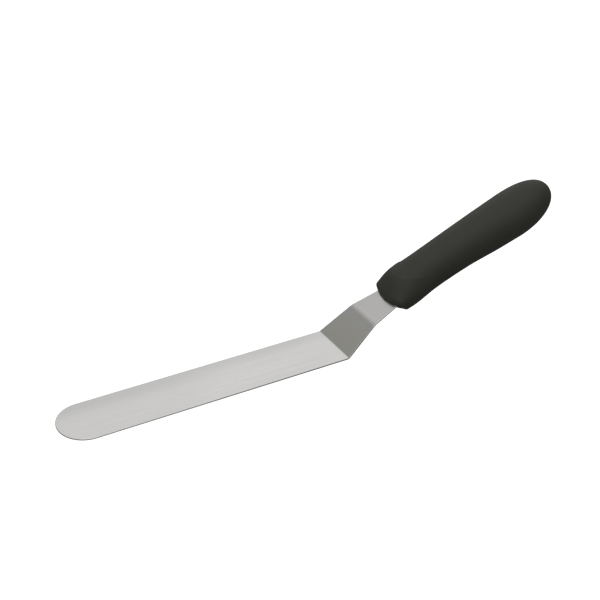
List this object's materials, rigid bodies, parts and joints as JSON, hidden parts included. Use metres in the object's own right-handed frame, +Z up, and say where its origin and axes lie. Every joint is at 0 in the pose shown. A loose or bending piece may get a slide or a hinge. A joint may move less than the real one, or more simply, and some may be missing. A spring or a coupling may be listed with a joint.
{
  "type": "offset spatula",
  "caption": "Offset icing spatula: a long round-tipped steel blade, bent up at the heel, in a moulded black handle.",
  "frame": {"origin": "middle of the blade's flat underside, on the plane of symmetry", "axes": "+X from the blade's tip towards the handle, +Z up out of the blade's top face, +Y to the left when looking along +X"},
  "size_m": [0.3591, 0.0382, 0.0837],
  "materials": {
    "blade_steel": "fine brushed along the blade's length",
    "core_plastic": "as moulded",
    "grip_plastic": "fine satin texture, as moulded"
  },
  "bodies": {
    "root": {"blade": "blade_steel", "handle_core": "core_plastic", "handle_grip": "grip_plastic"}
  },
  "joints": []
}
